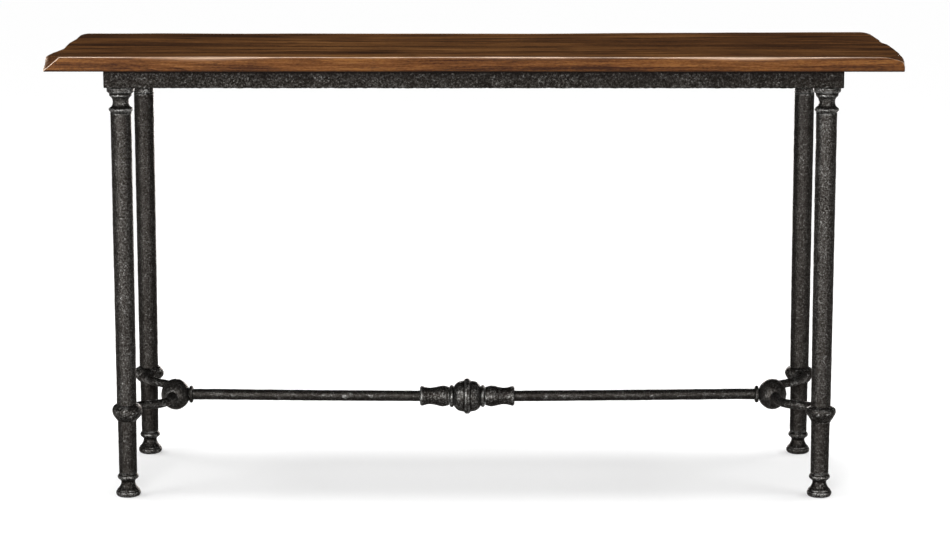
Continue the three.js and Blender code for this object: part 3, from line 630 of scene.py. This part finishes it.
def rail(side, seed):
    """One angle rail: its section swept along the rail, mitred at both ends."""
    node = f"frame_rail_{side}"
    low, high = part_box(node)
    lengthwise = 0 if high[0] - low[0] > high[1] - low[1] else 1
    across = 1 - lengthwise
    outward = -1 if side in ("front", "left") else 1
    outer = high[across] if outward > 0 else low[across]
    thick, flange = RAIL_THICKNESS, high[across] - low[across]
    top, bottom = high[2], low[2]
    corner = [(0, bottom), (0, top), (flange, top), (flange, top - thick), (thick, top - thick),
              (thick, bottom)]
    section = []
    for (a, b), step in zip(zip(corner, corner[1:] + corner[:1]), RAIL_STEPS):
        length = math.hypot(b[0] - a[0], b[1] - a[1])
        count = max(2, int(length / MM / step))
        for i in range(count):
            section.append((a[0] + (b[0] - a[0]) * i / count, a[1] + (b[1] - a[1]) * i / count))
    section = np.array(section)
    previous, following = np.roll(section, 1, 0), np.roll(section, -1, 0)
    section = 0.5 * section + 0.25 * (previous + following)
    tangent = following - previous
    tangent /= np.linalg.norm(tangent, axis=1)[:, None]
    normal = np.c_[-tangent[:, 1], tangent[:, 0]]
    half = (high[lengthwise] - low[lengthwise]) / 2
    middle = (high[lengthwise] + low[lengthwise]) / 2
    rows = int(2 * half / RAIL_ROW)
    share = np.linspace(-1, 1, rows)
    points = np.zeros((rows, len(section), 3))
    points[:, :, lengthwise] = middle + share[:, None] * (half - section[None, :, 0])
    points[:, :, across] = outer - outward * section[None, :, 0]
    points[:, :, 2] = section[None, :, 1]
    push = np.zeros_like(points)
    push[:, :, across] = -outward * normal[None, :, 0]
    push[:, :, 2] = normal[None, :, 1]
    points, push = points.reshape(-1, 3), push.reshape(-1, 3)
    relief = 0.95 * (np.clip(dimples(points, 7.0 * MM, seed), 0, 1) - 0.85)
    relief += 0.5 * (np.clip(dimples(points, 4.2 * MM, seed + 5), 0, 1) - 0.85)
    relief += 0.3 * lumps(points, 18 * MM, seed + 9)
    points = points + push * relief[:, None] * MM
    foot_line = np.exp(-((section[:, 1] - bottom) / (1.6 * MM)) ** 2) * (section[:, 0] < 2 * MM)
    faces = tube_faces(rows, len(section))
    if (outward > 0) == (lengthwise == 0):
        faces = [tuple(reversed(f)) for f in faces]
    piece = mesh_object(f"apron_{side}", points, faces, np.tile(foot_line, rows))
    # Darker all over, and darker still along the top strip as painted shade.
    shaded = APRON_DARKENING + PAINTED_SHADE * np.clip(1 - (top - section[:, 1]) / PAINTED_SHADE_DEPTH, 0, 1)
    paint(piece.data, "grime_and_shade", np.tile(shaded, rows))
    return finish_piece(piece, "cast_iron", METALS["HAMMERED"], node)


# ---------------------------------------------------------------- legs

CAPITAL = [(11, 0), (18.9, 0), (19.4, 1.4), (21.2, 3.4), (21.9, 5.6), (21.2, 7.6), (18.2, 9.6), (16.2, 11.8),
           (15.0, 15.0), (14.5, 19.0), (14.9, 22.6), (15.9, 25.6), (17.8, 28.2), (20.2, 29.9), (20.5, 32.0),
           (20.4, 34.0), (22.0, 35.6), (24.4, 37.2), (24.9, 40.0), (24.7, 44.7), (5, 44.9)]
# The rear legs run straight on a little before their capital starts.
REAR_CAPITAL = [(11, 0), (19.0, 0), (19.0, 9.0), (20.8, 10.4), (21.6, 12.4), (20.8, 14.4), (17.6, 16.4),
                (15.6, 19.0), (14.6, 22.4), (15.4, 26.4), (17.8, 29.0), (20.2, 30.7), (20.5, 32.6),
                (20.4, 34.2), (22.0, 35.6), (24.4, 37.2), (24.9, 40.0), (24.7, 44.7), (5, 44.9)]
FOOT = [(3, 0), (17.4, 0), (20.4, 1.4), (22.2, 4.2), (22.6, 7.6), (22.0, 9.6), (20.6, 10.6), (20.6, 12.2),
        (19.0, 14.0), (17.0, 16.0), (15.0, 19.2), (13.2, 23.0), (12.5, 26.4), (13.0, 29.2), (15.2, 31.4),
        (17.6, 33.2), (19.0, 35.4), (19.2, 37.4), (18.4, 39.4), (16.8, 41.2), (16.3, 43), (8, 43)]
COLLAR = [(17.2, -16.5), (18.2, -15.6), (18.8, -14.2), (20.6, -12.6), (23.8, -9.0), (26.8, -4.0), (27.9, 1.0),
          (27.0, 6.0), (24.4, 10.4), (20.6, 13.0), (18.2, 13.8), (17.2, 14.0)]
BOWL_COLLAR = [(17.4, -19.5), (18.2, -18.4), (19.2, -15.8), (21.6, -11.6), (24.6, -7.4), (26.8, -3.2),
               (27.6, 0.6), (27.2, 4.0), (25.4, 7.4), (21.4, 9.2), (18.4, 10.0), (17.2, 10.6)]


def leg(place, seed):
    """One leg: capital, long tapering shaft, lumpy collar, short shaft and turned foot."""
    low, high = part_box(f"leg_foot_{place}")
    x, y = (low[0] + high[0]) / 2, (low[1] + high[1]) / 2
    capital_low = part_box(f"leg_capital_{place}")[0]
    collar_low, collar_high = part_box(f"leg_collar_{place}")
    collar_z = (collar_low[2] + collar_high[2]) / 2
    profile = REAR_CAPITAL if place.startswith("rear") else CAPITAL
    # The rear legs stand under the top: painted shade makes all their parts darker.
    rear_shade = 0.16 if place.startswith("rear") else 0.0
    turned(f"capital_{place}", f"leg_capital_{place}", profile, (x, y, capital_low[2]), soften=0.5,
           step=0.6, strength=0.8, seed=seed, metal="CASTING", rub=1.3, grime_and_shade=rear_shade - 0.10)
    shaft_low = collar_z / MM
    shaft_high = capital_low[2] / MM
    upper = [(6, shaft_low), (17.6, shaft_low + 0.5), (18.0, shaft_low + 14),
             (18.5, (shaft_low + shaft_high) / 2), (19.0, shaft_high - 0.4), (6, shaft_high)]
    turned(f"upper_shaft_{place}", f"leg_upper_shaft_{place}", upper, (x, y, 0), soften=0.5, step=2.2,
           strength=0.8, seed=seed + 1, grime_and_shade=rear_shade)
    lower = [(6, high[2] / MM), (16.3, high[2] / MM + 0.4), (17.1, shaft_low - 12), (17.2, shaft_low - 0.8),
             (6, shaft_low - 0.5)]
    turned(f"lower_shaft_{place}", f"leg_lower_shaft_{place}", lower, (x, y, 0), soften=0.5, step=2.0,
           strength=0.8, seed=seed + 2, grime_and_shade=rear_shade + 0.12)
    ring = BOWL_COLLAR if place == "front_right" else COLLAR
    turned(f"collar_{place}", f"leg_collar_{place}", ring, (x, y, collar_z), soften=0.8, step=0.9,
           strength=3.4, seed=seed + 3, metal="CASTING", rub=1.6, grime_and_shade=0.15)
    turned(f"foot_{place}", f"leg_foot_{place}", FOOT, (x, y, 0), soften=0.5, step=0.6, strength=0.6,
           seed=seed + 4, metal="CASTING", rub=0.5, grime_and_shade=rear_shade)


# ---------------------------------------------------------------- yokes and stretcher

# An arm's centre line from its collar to its ball, as shares of the way from the ball to the leg's axis.
ARM_LINE = [(1.0, 0.875), (0.971, 0.752), (0.771, 0.630), (0.514, 0.560), (0.271, 0.483), (0.114, 0.364),
            (0.029, 0.120)]


def arm(place, seed):
    node = f"yoke_arm_{place}"
    end = place.split("_")[1]
    foot_low, foot_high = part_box(f"leg_foot_{place}")
    ball_low, ball_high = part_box(f"yoke_ball_{end}")
    leg_x, leg_y = (foot_low[0] + foot_high[0]) / 2, (foot_low[1] + foot_high[1]) / 2
    ball_x, ball_z = (ball_low[0] + ball_high[0]) / 2, (ball_low[2] + ball_high[2]) / 2
    rise = 3 * MM
    route = [(ball_x + u * (leg_x - ball_x), v * leg_y, ball_z + rise * u * u) for u, v in ARM_LINE]
    line = spline_through(route, 1.8 * MM)
    run = np.r_[0, np.cumsum(np.linalg.norm(np.diff(line, axis=0), axis=1))] / MM
    radii = 8.2 + 5.6 * np.exp(-(run / 13.0) ** 2) + 2.6 * np.exp(-((run[-1] - 12 - run) / 9.0) ** 2)
    swept(node.replace("yoke_arm", "side_arm"), node, line, radii * MM, strength=1.0, seed=seed)


BALL = [(29.2 * math.cos(t), 27 * math.sin(t)) for t in np.radians(np.linspace(-86, 86, 25))]
FLANGE = [(9, -3.4), (13.6, -3.3), (15.6, -2.4), (16.2, 0), (15.6, 2.4), (13.6, 3.3), (9, 3.4)]
BEAD = [(9, 25.0), (18.0, 25.2), (20.4, 27.0), (21.3, 29.3), (20.6, 31.4), (18.2, 33.2), (9, 33.7)]
SLEEVE = [(9, 33.5), (17.3, 33.8), (17.9, 36.6), (19.2, 40.5), (20.0, 46), (19.2, 52), (17.4, 58.5),
          (16.0, 65), (15.7, 71), (16.4, 76.5), (17.8, 81.5), (18.8, 84.8), (18.4, 87.4), (16.0, 89),
          (9, 89.2)]
HALF_KNOP = [(33.4, 0), (33.8, 1.6), (33.2, 3.8), (31.0, 5.4), (29.5, 6.2), (29.3, 8.5), (28.6, 12.5),
             (27.6, 16.0), (25.8, 19.2), (22.8, 22.2), (19.4, 24.8), (17.4, 25.2), (9, 25.2)]


def mirrored(profile):
    """The same profile on the other side of its origin, listed from low to high."""
    return [(radius, -height) for radius, height in reversed(profile)]


KNOP = mirrored(HALF_KNOP)[:-1] + HALF_KNOP


def make_stretcher():
    knop_low, knop_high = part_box("stretcher_knop")
    middle = ((knop_low[0] + knop_high[0]) / 2, 0, (knop_low[2] + knop_high[2]) / 2)
    turned("centre_knop", "stretcher_knop", KNOP, middle, axis="X", sides=96, soften=0.45, step=0.6,
           strength=0.8, seed=80, metal="CASTING", rub=0.4)
    for seed, (end, side) in enumerate(ENDS.items()):
        facing = (lambda p: p) if side > 0 else mirrored
        ball_low, ball_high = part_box(f"yoke_ball_{end}")
        ball = ((ball_low[0] + ball_high[0]) / 2, 0, (ball_low[2] + ball_high[2]) / 2)
        turned(f"ball_{end}", f"yoke_ball_{end}", BALL, ball, axis="X", sides=96, soften=1.2, step=0.9,
               strength=1.3, seed=90 + seed)
        ring_low, ring_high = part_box(f"stretcher_flange_{end}")
        ring = ((ring_low[0] + ring_high[0]) / 2 + side * 2.5 * MM, 0, middle[2])
        # Painted shade: the flange ring between the ball and the sleeve is made much darker all over.
        turned(f"flange_{end}", f"stretcher_flange_{end}", FLANGE, ring, axis="X", soften=0.5, step=0.6,
               strength=0.8, seed=100 + seed, grime_and_shade=0.55)
        turned(f"bead_{end}", f"stretcher_bead_{end}", facing(BEAD), middle, axis="X", soften=0.4, step=0.6,
               strength=0.5, seed=110 + seed)
        turned(f"sleeve_{end}", f"stretcher_sleeve_{end}", facing(SLEEVE), middle, axis="X", soften=0.8,
               step=0.8, strength=0.9, seed=120 + seed, metal="CASTING", rub=0.9)
        rod_low, rod_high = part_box(f"stretcher_rod_{end}")
        rod = [(3, rod_low[0] / MM), (10.2, rod_low[0] / MM + 0.4), (10.2, rod_high[0] / MM - 0.4),
               (3, rod_high[0] / MM)]
        turned(f"rod_{end}", f"stretcher_rod_{end}", rod, (0, 0, middle[2]), axis="X", sides=48, soften=0,
               step=2.0, strength=0.75, seed=130 + seed, rub=0.6, grime_and_shade=0.10)


def dress_hidden_iron():
    """The corner plates and the fasteners keep their CAD shapes and get their metals."""
    for name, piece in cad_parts.items():
        if name.startswith("corner_plate"):
            metal = METALS["IRON"]
        elif name.startswith(("leg_bolt", "top_screw")):
            metal = METALS["STEEL"]
        else:
            continue
        piece.data.materials.clear()
        piece.data.materials.append(metal)


# ---------------------------------------------------------------- stage, light and camera

def make_floor():
    half = 30.0
    mesh = bpy.data.meshes.new("floor")
    corners = [(-half, -half, 0), (half, -half, 0), (half, half, 0), (-half, half, 0)]
    mesh.from_pydata(corners, [], [(0, 1, 2, 3)])
    floor = bpy.data.objects.new("floor", mesh)
    bpy.context.scene.collection.objects.link(floor)
    n = Nodes("pale_floor")
    n.shader.inputs["Base Color"].default_value = (0.58, 0.58, 0.58, 1)
    n.shader.inputs["Roughness"].default_value = 0.9
    n.shader.inputs["Emission Color"].default_value = (1, 1, 1, 1)
    n.shader.inputs["Emission Strength"].default_value = 0.42
    n.shader.inputs["Specular IOR Level"].default_value = 0.0
    mesh.materials.append(n.material)


def softbox(name, place, target, size, power, gloss=True, diffuse=True):
    light = bpy.data.lights.new(name, "AREA")
    light.shape = "RECTANGLE"
    light.size, light.size_y = size
    light.energy = power
    lamp = bpy.data.objects.new(name, light)
    lamp.location = place
    lamp.rotation_euler = (Vector(target) - Vector(place)).to_track_quat("-Z", "Y").to_euler()
    lamp.visible_camera = False
    lamp.visible_glossy = gloss
    lamp.visible_diffuse = diffuse
    bpy.context.scene.collection.objects.link(lamp)


def make_light():
    sun = bpy.data.lights.new("sky_panel", "SUN")
    sun.energy = 2.8
    sun.angle = math.radians(19)
    lamp = bpy.data.objects.new("sky_panel", sun)
    lamp.rotation_euler = (math.radians(-1.5), 0, 0)
    bpy.context.scene.collection.objects.link(lamp)
    softbox("front_key", (-0.8, -4.6, 2.6), (0, 0, 0.5), (2.0, 1.4), 150)
    # Panels that only show as highlights down the legs and along the bars.
    softbox("left_panel", (-2.6, -4.4, 0.7), (0, 0, 0.5), (2.4, 1.3), 640, diffuse=False)
    softbox("right_panel", (2.3, -4.6, 0.7), (0, 0, 0.5), (2.0, 1.3), 430, diffuse=False)
    softbox("high_panel", (-0.7, -4.2, 2.3), (0, 0, 0.3), (1.8, 1.0), 210, diffuse=False)
    # One more behind the table and below its top, so that the iron isn't lost from the rear.
    softbox("rear_panel", (0.5, 4.6, 0.42), (0, 0, 0.42), (2.8, 0.7), 320, diffuse=False)
    # Low side lights for the soft shadows beside the feet.
    for end, side in ENDS.items():
        for row, y in (("front", -0.8), ("rear", 0.8)):
            place, target = (side * 2.3, y, 0.85), (side * 0.6, 0, 0)
            softbox(f"{end}_{row}_side", place, target, (1.2, 0.9), 23, gloss=False)
    world = bpy.data.worlds.new("studio")
    bpy.context.scene.world = world
    world.use_nodes = True
    tree = world.node_tree
    tree.nodes.clear()
    seen = tree.nodes.new("ShaderNodeBackground")
    seen.inputs["Color"].default_value = (1, 1, 1, 1)
    seen.inputs["Strength"].default_value = 1.0
    lit = tree.nodes.new("ShaderNodeBackground")
    lit.inputs["Color"].default_value = (1, 1, 1, 1)
    lit.inputs["Strength"].default_value = 0.08
    path = tree.nodes.new("ShaderNodeLightPath")
    mix = tree.nodes.new("ShaderNodeMixShader")
    out = tree.nodes.new("ShaderNodeOutputWorld")
    tree.links.new(path.outputs["Is Camera Ray"], mix.inputs["Fac"])
    tree.links.new(lit.outputs[0], mix.inputs[1])
    tree.links.new(seen.outputs[0], mix.inputs[2])
    tree.links.new(mix.outputs[0], out.inputs["Surface"])
    bpy.context.scene.view_settings.view_transform = "Standard"


def make_camera():
    """A long lens a little above the top, looking slightly down, as in a catalogue picture."""
    data = bpy.data.cameras.new("camera")
    data.lens = 100
    data.sensor_width = 36
    data.shift_y = -0.07
    camera = bpy.data.objects.new("camera", data)
    camera.location = (0.0094, -4.872, 1.258)
    camera.rotation_euler = (math.radians(90 - 8.58), 0, math.radians(0.086))
    bpy.context.scene.collection.objects.link(camera)
    bpy.context.scene.camera = camera


make_camera()
make_floor()
make_light()
make_top()
for number, rail_side in enumerate(("front", "rear", "left", "right")):
    rail(rail_side, 60 + number)
for number, leg_place in enumerate(PLACES):
    leg(leg_place, 20 + 7 * number)
    arm(leg_place, 50 + number)
make_stretcher()
dress_hidden_iron()
